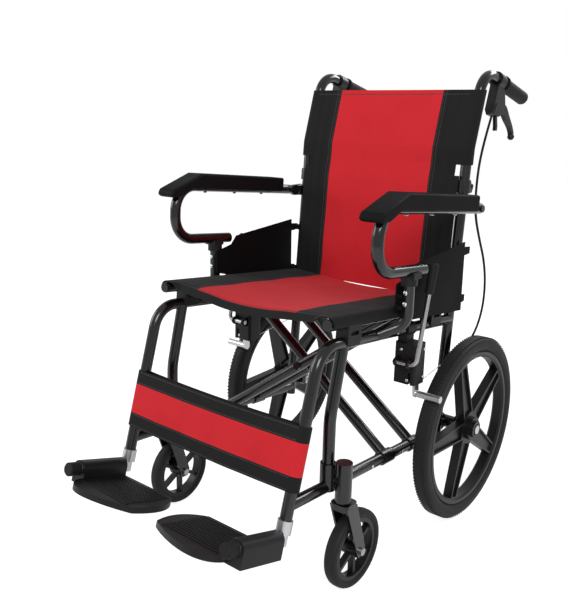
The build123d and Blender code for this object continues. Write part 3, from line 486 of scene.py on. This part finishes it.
def backFront(z):
    # How far the sheet lies in front of the cane's middle
    if z >= back["sleeveLowZ"]:
        return back["sleeveR"]
    share = min(1, (back["sleeveLowZ"] - z) / 40)
    return back["sleeveR"] + (back["frontGap"] - back["sleeveR"]) * share


def backPoint(u, z):
    # u runs across the cloth, and round the cane past its front line
    railX = chair["railX"]
    side = 1 if u > 0 else -1
    reach = abs(u)
    front = backFront(z)
    if reach <= railX:
        share = reach / railX
        deep = back["sag"] * (1 + cos(pi * share)) / 2
        tall = (z - back["lowZ"]) / (back["topZ"] - back["lowZ"])
        deep *= 0.45 + 0.55 * sin(pi * min(1, max(0, tall)))
        wave = 2.2 * ripple(u, 0, z, 85) + 1.2 * ripple(u + z * 0.6, 3, z * 0.5, 34)
        for crease in back["creases"]:
            deep += 1.5 * exp(-((reach - crease) / 4.5) ** 2)
        low = max(0.0, 1 - tall * 2.6)
        deep += 2.6 * low * sin((reach * 0.9 + (z - back["lowZ"]) * 0.8) / 19) * share
        seam = min(1, abs(reach - back["redHalf"]) / 16)
        deep += wave * sin(pi * min(1, 1.03 * share)) * (0.35 + 0.65 * seam) if share > 0.02 else wave * 0.1
        x, y = reach, -front + deep
    else:
        angle = (reach - railX) / back["sleeveR"]
        x, y = railX + back["sleeveR"] * sin(angle), -back["sleeveR"] * cos(angle)
    return side * x, caneAt(z) + y, z


def makeBack():
    railX, half = chair["railX"], back["redHalf"]
    around = railX + back["sleeveR"] * radians(255)
    slotEdge, lowEdge = railX - back["slotWide"], railX - 5
    inner = spread(-half, half, 52)
    colors = [weave("redCloth"), weave("blackCloth")]
    pieces = []
    for name, low, high, body, node in (
            ("backPanelLower", back["lowZ"], chair["hingeZ"], "left_frame", "back_cloth_lower"),
            ("backPanelUpper", chair["hingeZ"], back["topZ"], "upper_back_left", "back_cloth_upper")):
        outer = spread(half, slotEdge, 12)[1:] + spread(slotEdge, lowEdge, 3)[1:]
        rows = spread(low, high, 60)
        if node == "back_cloth_upper":
            outer += spread(lowEdge, railX, 2)[1:] + spread(railX, around, 30)[1:]
            rows = spread(low, back["slotLowZ"], 5) + spread(back["slotLowZ"], back["sleeveLowZ"], 7)[1:]
            rows += spread(back["sleeveLowZ"], high, 40)[1:]
        columns = [-u for u in reversed(outer)] + inner + outer

        def color(i, j, columns=columns):
            return 0 if abs(columns[i] + columns[i + 1]) / 2 < half else 1

        def kept(i, j, columns=columns, rows=rows):
            reach, z = abs(columns[i] + columns[i + 1]) / 2, (rows[j] + rows[j + 1]) / 2
            return reach < slotEdge or z > back["sleeveLowZ"] or (reach < lowEdge and z < back["slotLowZ"])

        obj = clothSheet(name, columns, rows, backPoint, color, colors, back["thick"], kept=kept)
        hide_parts(node)
        lines = [[backPoint(side * (half + off), z) for z in spread(low + 2, high - 2, 60)]
                 for side in (-1, 1) for off in (3.0, 9.0)]
        if node == "back_cloth_upper":
            lines.append([backPoint(u, high - 9) for u in spread(-half - 60, half + 60, 60)])
        thread = sewnLine(name + "Stitches", lines, "blackThread", back["thick"] / 2)
        pieces.append((obj, thread, body))
    return pieces


# Calf strap
strap = {"low": 61.0, "high": 173.0, "hem": 27.0, "r": 12.6, "thick": 2.2, "belly": 4.0, "ripple": 2.0}


def strapPoint(u, v):
    # u runs round the loop from the left leg's front, v up along the leg tubes
    railX, r = chair["railX"], strap["r"]
    half = pi * r
    total = 4 * railX + 2 * half
    u = u % total
    if u < 2 * railX:
        x, out = railX - u, -r
        share = abs(x) / railX
        bow = strap["belly"] * (1 - share ** 2)
        middle = 1 - abs(2 * (v - strap["low"]) / (strap["high"] - strap["low"]) - 1) ** 2
        out += bow * (0.4 + 0.6 * middle)
        out += strap["ripple"] * ripple(u, v * 1.6, 0, 60) * (1 - share ** 4)
    elif u < 2 * railX + half:
        angle = (u - 2 * railX) / r
        x, out = -railX - r * sin(angle), -r * cos(angle)
    elif u < 4 * railX + half:
        x, out = -railX + (u - 2 * railX - half), r
        out -= 5.0 * (1 - (abs(x) / railX) ** 2)
    else:
        angle = (u - 4 * railX - half) / r
        x, out = railX + r * sin(angle), r * cos(angle)
    lean = radians(chair["legLean"])
    y0, z0 = legAt(chair["legEndZ"]), chair["legEndZ"]
    sagging = 3.0 * (1 - (abs(x) / railX) ** 2) if abs(x) < railX else 0.0
    up = v - sagging * (1 if out < 0 else 1)
    return x, y0 + up * sin(lean) + out * cos(lean), z0 + up * cos(lean) - out * sin(lean)


def makeStrap():
    total = 4 * chair["railX"] + 2 * pi * strap["r"]
    around = spread(0, 2 * chair["railX"], 72)
    turn = spread(2 * chair["railX"], 2 * chair["railX"] + pi * strap["r"], 10)[1:]
    rear = spread(turn[-1], turn[-1] + 2 * chair["railX"], 48)[1:]
    last = spread(rear[-1], total, 10)[1:-1]
    columns = around + turn + rear + last
    low, high, hem = strap["low"], strap["high"], strap["hem"]
    rows = spread(low, low + hem, 6) + spread(low + hem, high - hem, 12)[1:] + spread(high - hem, high, 6)[1:]

    def color(i, j):
        middle = (rows[j] + rows[j + 1]) / 2
        return 0 if low + hem < middle < high - hem else 1

    obj = clothSheet("calfBand", columns, rows, strapPoint, color, [weave("redCloth"), weave("blackCloth")],
                     strap["thick"], closed=True)
    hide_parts("calf_strap")
    lines = [[strapPoint(u, v) for u in spread(4, 2 * chair["railX"] - 4, 110)]
             for v in (low + 3, low + hem - 3, high - hem + 3, high - 3)]
    thread = sewnLine("calfBandStitches", lines, "blackThread", strap["thick"] / 2)
    return obj, thread


# Geometry Nodes: the same small piece put along lines, round a ring, or at chosen places

def newTree(name, inputs):
    tree = bpy.data.node_groups.new(name, "GeometryNodeTree")
    tree.interface.new_socket("Geometry", in_out="INPUT", socket_type="NodeSocketGeometry")
    for label, kind in inputs:
        tree.interface.new_socket(label, in_out="INPUT", socket_type=kind)
    tree.interface.new_socket("Geometry", in_out="OUTPUT", socket_type="NodeSocketGeometry")
    return tree, tree.nodes.new("NodeGroupInput"), tree.nodes.new("NodeGroupOutput")


def endTree(tree, instances, materialSocket, output):
    real = tree.nodes.new("GeometryNodeRealizeInstances")
    wear = tree.nodes.new("GeometryNodeSetMaterial")
    smooth = tree.nodes.new("GeometryNodeSetShadeSmooth")
    tree.links.new(instances, real.inputs[0])
    tree.links.new(real.outputs[0], smooth.inputs[0])
    tree.links.new(smooth.outputs[0], wear.inputs[0])
    tree.links.new(materialSocket, wear.inputs["Material"])
    tree.links.new(wear.outputs[0], output.inputs[0])


def stitchTree():
    # Short raised stitches along each edge line of the mesh
    tree, source, output = newTree("stitchAlongLine", [
        ("Pitch", "NodeSocketFloat"), ("Stitch Length", "NodeSocketFloat"), ("Thread Radius", "NodeSocketFloat"),
        ("Thread", "NodeSocketMaterial")])
    nodes, links = tree.nodes, tree.links
    curve = nodes.new("GeometryNodeMeshToCurve")
    points = nodes.new("GeometryNodeCurveToPoints")
    points.mode = "LENGTH"
    bead = nodes.new("GeometryNodeMeshCylinder")
    bead.inputs["Vertices"].default_value = 6
    place3 = nodes.new("GeometryNodeInstanceOnPoints")
    align = nodes.new("FunctionNodeAlignRotationToVector")
    align.axis = "Z"
    links.new(source.outputs["Geometry"], curve.inputs[0])
    links.new(curve.outputs[0], points.inputs[0])
    links.new(source.outputs["Pitch"], points.inputs["Length"])
    links.new(points.outputs["Tangent"], align.inputs["Vector"])
    links.new(source.outputs["Stitch Length"], bead.inputs["Depth"])
    links.new(source.outputs["Thread Radius"], bead.inputs["Radius"])
    links.new(points.outputs[0], place3.inputs["Points"])
    links.new(bead.outputs[0], place3.inputs["Instance"])
    links.new(align.outputs[0], place3.inputs["Rotation"])
    endTree(tree, place3.outputs[0], source.outputs["Thread"], output)
    return tree


def setInputs(modifier, values):
    for item in modifier.node_group.interface.items_tree:
        if item.item_type == "SOCKET" and item.in_out == "INPUT" and item.name in values:
            modifier[item.identifier] = values[item.name]


threads = {"pitch": 5.2, "length": 3.6, "radius": 0.45}
trees = {}


def threadMaterial():
    if "blackThread" not in made:
        material, nodes, links, shader = newMaterial("blackThread")
        spot = nodes.new("ShaderNodeTexCoord").outputs["Object"]
        twist = noiseFrom(nodes, links, spot, 600, 2)
        tint = nodes.new("ShaderNodeMix")
        tint.data_type = "RGBA"
        tint.inputs[6].default_value = (0.012, 0.012, 0.012, 1)
        tint.inputs[7].default_value = (0.04, 0.04, 0.04, 1)
        links.new(twist, tint.inputs[0])
        links.new(tint.outputs[2], shader.inputs["Base Color"])
        shader.inputs["Roughness"].default_value = 0.6
        made["blackThread"] = material
    return made["blackThread"]


def sewnLine(name, lines, threadName, lift):
    # Stitches along lines of mm points that lie on a cloth's middle
    points, edges = [], []
    for line in lines:
        start = len(points)
        points += [place(*p) for p in line]
        edges += [(start + i, start + i + 1) for i in range(len(line) - 1)]
    mesh = bpy.data.meshes.new(name)
    mesh.from_pydata([tuple(p) for p in points], edges, [])
    obj = bpy.data.objects.new(name, mesh)
    bpy.context.scene.collection.objects.link(obj)
    if "stitch" not in trees:
        trees["stitch"] = stitchTree()
    modifier = obj.modifiers.new("stitches", "NODES")
    modifier.node_group = trees["stitch"]
    setInputs(modifier, {"Pitch": threads["pitch"] / 1000, "Stitch Length": threads["length"] / 1000,
                         "Thread Radius": (threads["radius"] + lift) / 1000, "Thread": threadMaterial()})
    bakeModifiers(obj)
    return obj


def ringTree():
    # Bars set evenly round a ring in the YZ plane
    tree, source, output = newTree("barsRoundRing", [
        ("Ring Radius", "NodeSocketFloat"), ("Count", "NodeSocketInt"), ("Bar Size", "NodeSocketVector"),
        ("Centre", "NodeSocketVector"), ("Rubber", "NodeSocketMaterial")])
    nodes, links = tree.nodes, tree.links
    ring = nodes.new("GeometryNodeMeshCircle")
    bar = nodes.new("GeometryNodeMeshCube")
    onto = nodes.new("GeometryNodeInstanceOnPoints")
    align = nodes.new("FunctionNodeAlignRotationToVector")
    align.axis = "X"
    where = nodes.new("GeometryNodeInputPosition")
    turn = nodes.new("GeometryNodeTransform")
    turn.inputs["Rotation"].default_value = (0, pi / 2, 0)
    links.new(source.outputs["Ring Radius"], ring.inputs["Radius"])
    links.new(source.outputs["Count"], ring.inputs["Vertices"])
    links.new(source.outputs["Bar Size"], bar.inputs["Size"])
    links.new(where.outputs[0], align.inputs["Vector"])
    links.new(ring.outputs[0], onto.inputs["Points"])
    links.new(bar.outputs[0], onto.inputs["Instance"])
    links.new(align.outputs[0], onto.inputs["Rotation"])
    links.new(onto.outputs[0], turn.inputs["Geometry"])
    links.new(source.outputs["Centre"], turn.inputs["Translation"])
    real = nodes.new("GeometryNodeRealizeInstances")
    wear = nodes.new("GeometryNodeSetMaterial")
    links.new(turn.outputs[0], real.inputs[0])
    links.new(real.outputs[0], wear.inputs[0])
    links.new(source.outputs["Rubber"], wear.inputs["Material"])
    links.new(wear.outputs[0], output.inputs[0])
    return tree


def barsRound(name, centre, radius, count, size, material):
    mesh = bpy.data.meshes.new(name)
    mesh.from_pydata([tuple(centre)], [], [])
    obj = bpy.data.objects.new(name, mesh)
    bpy.context.scene.collection.objects.link(obj)
    if "ring" not in trees:
        trees["ring"] = ringTree()
    modifier = obj.modifiers.new("bars", "NODES")
    modifier.node_group = trees["ring"]
    setInputs(modifier, {"Ring Radius": radius, "Count": count, "Bar Size": size, "Centre": centre, "Rubber": material})
    return bakeModifiers(obj)


tread = {"rearR": 199.3, "rearCount": 150, "rearBar": (1.2, 2.6, 25.0), "casterR": 0}


def makeTread():
    for side, sign in sides:
        centre = place(sign * 257, 0, 200)
        r, (high, wide, long) = tread["rearR"] / 1000, [s / 1000 for s in tread["rearBar"]]
        obj = barsRound(f"tyreTread_{side}", centre, r, tread["rearCount"], (high, wide, long), finish("tyreRubber"))
        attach(obj, f"rear_wheel_{side}")


# Screws, bolts and washers: each is a place, the way it points, and its head's radius and height
def boltTree():
    tree, source, output = newTree("headsOnPoints", [("Bolt Head", "NodeSocketObject"), ("Plating", "NodeSocketMaterial")])
    nodes, links = tree.nodes, tree.links
    info = nodes.new("GeometryNodeObjectInfo")
    info.transform_space = "ORIGINAL"
    onto = nodes.new("GeometryNodeInstanceOnPoints")
    align = nodes.new("FunctionNodeAlignRotationToVector")
    align.axis = "Z"
    facing = nodes.new("GeometryNodeInputNamedAttribute")
    facing.data_type = "FLOAT_VECTOR"
    facing.inputs["Name"].default_value = "facing"
    size = nodes.new("GeometryNodeInputNamedAttribute")
    size.data_type = "FLOAT_VECTOR"
    size.inputs["Name"].default_value = "headSize"
    links.new(source.outputs["Bolt Head"], info.inputs["Object"])
    links.new(source.outputs["Geometry"], onto.inputs["Points"])
    links.new(info.outputs["Geometry"], onto.inputs["Instance"])
    links.new(facing.outputs["Attribute"], align.inputs["Vector"])
    links.new(align.outputs[0], onto.inputs["Rotation"])
    links.new(size.outputs["Attribute"], onto.inputs["Scale"])
    endTree(tree, onto.outputs[0], source.outputs["Plating"], output)
    return tree


def boltHead():
    # Pan head of unit radius and height
    work = bmesh.new()
    rings = ((0.0, 0.0), (0.0, 1.0), (0.25, 1.0), (0.62, 0.93), (0.9, 0.62), (1.0, 0.0))
    steps = 20
    rows = []
    for z, r in rings:
        if r == 0.0 and z == 0.0:
            rows.append([work.verts.new((0, 0, -0.3))])
            continue
        if r == 0.0:
            rows.append([work.verts.new((0, 0, 1.0))])
            continue
        rows.append([work.verts.new((r * cos(2 * pi * i / steps), r * sin(2 * pi * i / steps), z)) for i in range(steps)])
    for a, b in zip(rows, rows[1:]):
        for i in range(steps):
            k = (i + 1) % steps
            if len(a) == 1:
                work.faces.new((a[0], b[k], b[i]))
            elif len(b) == 1:
                work.faces.new((a[i], a[k], b[0]))
            else:
                work.faces.new((a[i], a[k], b[k], b[i]))
    bmesh.ops.recalc_face_normals(work, faces=work.faces)
    mesh = bpy.data.meshes.new("boltHead")
    work.to_mesh(mesh)
    work.free()
    return bpy.data.objects.new("boltHead", mesh)


fasteners = {
    # place, facing, radius, height; x is for the left side
    "frame": [
        ((248, -273.2, 541), (0, -1, 0.05), 4.6, 2.6), ((248, -273.2, 520), (0, -1, 0.05), 4.6, 2.6),
        ((216.2, -190, 194), (1, 0, 0), 3.6, 2.0), ((216.2, -300, 199.4), (1, 0, 0), 3.6, 2.0),
        ((216.2, -236, 453), (1, 0, 0), 3.4, 2.0), ((216.2, -380, 464.4), (1, 0, 0), 3.4, 2.0),
        ((216.2, -140, 445.5), (1, 0, 0), 3.4, 2.0), ((241, -176, 412), (1, 0, 0), 3.2, 2.0),
        ((241, -200, 412), (1, 0, 0), 3.2, 2.0), ((241, -176, 356), (1, 0, 0), 3.2, 2.0),
        ((208, -207, 412), (0, -1, 0), 3.2, 2.0), ((224, -207, 352), (0, -1, 0), 3.2, 2.0),
    ],
    "armrest": [
        ((250, -290, 684.5), (0, 0.08, -1), 4.0, 2.4), ((250, -200, 677.5), (0, 0.08, -1), 4.0, 2.4),
        ((250, -110, 670.6), (0, 0.08, -1), 4.0, 2.4),
    ],
}


def makeFasteners():
    head = boltHead()
    trees["bolts"] = boltTree()
    for group, body in (("frame", "{}_frame"), ("armrest", "armrest_{}")):
        for side, sign in sides:
            rows = fasteners[group]
            name = f"{group}Fasteners_{side}"
            mesh = bpy.data.meshes.new(name)
            mesh.from_pydata([tuple(place(sign * p[0], p[1], p[2])) for p, *_ in rows], [], [])
            facing = mesh.attributes.new("facing", "FLOAT_VECTOR", "POINT")
            size = mesh.attributes.new("headSize", "FLOAT_VECTOR", "POINT")
            for i, (_, way, r, h) in enumerate(rows):
                facing.data[i].vector = (sign * way[0], way[1], way[2])
                size.data[i].vector = (r / 1000, r / 1000, h / 1000)
            obj = bpy.data.objects.new(name, mesh)
            bpy.context.scene.collection.objects.link(obj)
            modifier = obj.modifiers.new("heads", "NODES")
            modifier.node_group = trees["bolts"]
            setInputs(modifier, {"Bolt Head": head, "Plating": finish("zincPlate")})
            bakeModifiers(obj)
            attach(obj, body.format(side))
    bpy.data.objects.remove(head)


# Armrest pads
pad = {
    "pivotY": -22.0, "pivotZ": 675.0, "x": 250.0, "reach": 352.0, "nose": 30.0, "rear": -33.0,
    "wide": 48.0, "top": 27.0, "low": -5.0, "round": 8.0,
}


def makePads():
    nose = -pad["reach"] - pad["nose"]
    top, low = pad["top"], pad["low"]
    outline = [(pad["rear"], low), (pad["rear"], top), (nose + 82, top), (nose + 5, top - 35), (nose, top - 46),
               (nose + 8, low - 20), (nose + 30, low - 17), (nose + 62, low)]
    tilt = radians(chair["frameTilt"])
    for side, sign in sides:
        work = bmesh.new()
        loops = []
        for across in (-pad["wide"] / 2, pad["wide"] / 2):
            loop = []
            for y, z in outline:
                yy = pad["pivotY"] + y * cos(tilt) + z * sin(tilt)
                zz = pad["pivotZ"] - y * sin(tilt) + z * cos(tilt)
                loop.append(work.verts.new(place(sign * pad["x"] + across, yy, zz)))
            loops.append(loop)
        count = len(outline)
        work.faces.new(loops[0])
        work.faces.new(loops[1])
        for i in range(count):
            k = (i + 1) % count
            work.faces.new((loops[0][i], loops[0][k], loops[1][k], loops[1][i]))
        bmesh.ops.recalc_face_normals(work, faces=work.faces)
        mesh = bpy.data.meshes.new(f"armPad_{side}")
        work.to_mesh(mesh)
        work.free()
        obj = bpy.data.objects.new(f"armPad_{side}", mesh)
        bpy.context.scene.collection.objects.link(obj)
        mesh.materials.append(finish("padFoamSkin"))
        mesh.polygons.foreach_set("use_smooth", [True] * len(mesh.polygons))
        rounded = obj.modifiers.new("padRounding", "BEVEL")
        rounded.width = pad["round"] / 1000
        rounded.segments = 6
        rounded.limit_method = "ANGLE"
        rounded.angle_limit = radians(25)
        rounded.harden_normals = True
        bakeModifiers(obj)
        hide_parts(f"armrest_pad_{side}")
        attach(obj, f"armrest_{side}")


# Brake cables
cable = {
    "diameter": 5.0, "wire": 1.6,
    "points": [(212.5, 93, 856), (216, 53, 790), (222, 28, 720), (222, 34, 655), (222, 62, 603), (222, 96, 550),
               (222, 113, 494), (222, 110, 436), (222, 82, 388), (222, 34, 361), (222, -19, 358)],
    "wirePoints": [(222, -19, 358), (224, -172, 333)],
}


def splineTube(name, points, radius, material):
    # Smooth tube along the route, and the points its middle follows
    data = bpy.data.curves.new(name, "CURVE")
    data.dimensions = "3D"
    data.resolution_u = 10
    line = data.splines.new("NURBS")
    line.points.add(len(points) - 1)
    for knot, p in zip(line.points, points):
        knot.co = (*place(*p), 1)
    line.order_u = 3
    line.use_endpoint_u = True
    curve = bpy.data.objects.new(name + "Line", data)
    bpy.context.scene.collection.objects.link(curve)
    graph = bpy.context.evaluated_depsgraph_get()
    bare = bpy.data.meshes.new_from_object(curve.evaluated_get(graph), depsgraph=graph)
    path = [v.co.copy() for v in bare.vertices]
    data.bevel_depth = radius / 1000
    data.bevel_resolution = 4
    data.use_fill_caps = True
    bpy.context.view_layer.update()
    graph = bpy.context.evaluated_depsgraph_get()
    mesh = bpy.data.meshes.new_from_object(curve.evaluated_get(graph), depsgraph=graph)
    bpy.data.objects.remove(curve)
    mesh.materials.clear()
    mesh.materials.append(material)
    mesh.polygons.foreach_set("use_smooth", [True] * len(mesh.polygons))
    obj = bpy.data.objects.new(name, mesh)
    bpy.context.scene.collection.objects.link(obj)
    return outward(obj), path


def makeCables():
    for side, sign in sides:
        route = [(sign * x, y, z) for x, y, z in cable["points"]]
        obj, path = splineTube(f"brakeCable_{side}", route, cable["diameter"] / 2, finish("softRubber"))
        wireRoute = [(sign * x, y, z) for x, y, z in cable["wirePoints"]]
        wire, _ = splineTube(f"brakeWire_{side}", [wireRoute[0], tuple((Vector(wireRoute[0]) + Vector(wireRoute[1])) / 2),
                                                   wireRoute[1]], cable["wire"] / 2, finish("brushedSteel"))
        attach(wire, f"{side}_frame")
        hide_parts(f"brake_cable_{side}")
        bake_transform(obj)


setCamera()
setStudio()
print("stage: camera and studio set")
dressSolids()
print("stage: solids dressed")
seatObj, seatThread = makeSeat()
for piece in (seatObj, seatThread):
    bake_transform(piece)
for panel, thread, body in makeBack():
    for piece in (panel, thread):
        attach(piece, body)
        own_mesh(piece)
band, bandThread = makeStrap()
for piece in (band, bandThread):
    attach(piece, "left_frame")
    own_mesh(piece)
print("stage: cloth made")
makePads()
makeTread()
makeFasteners()
makeCables()
print("stage: pads, tread, fasteners and cables made")
bpy.context.view_layer.update()
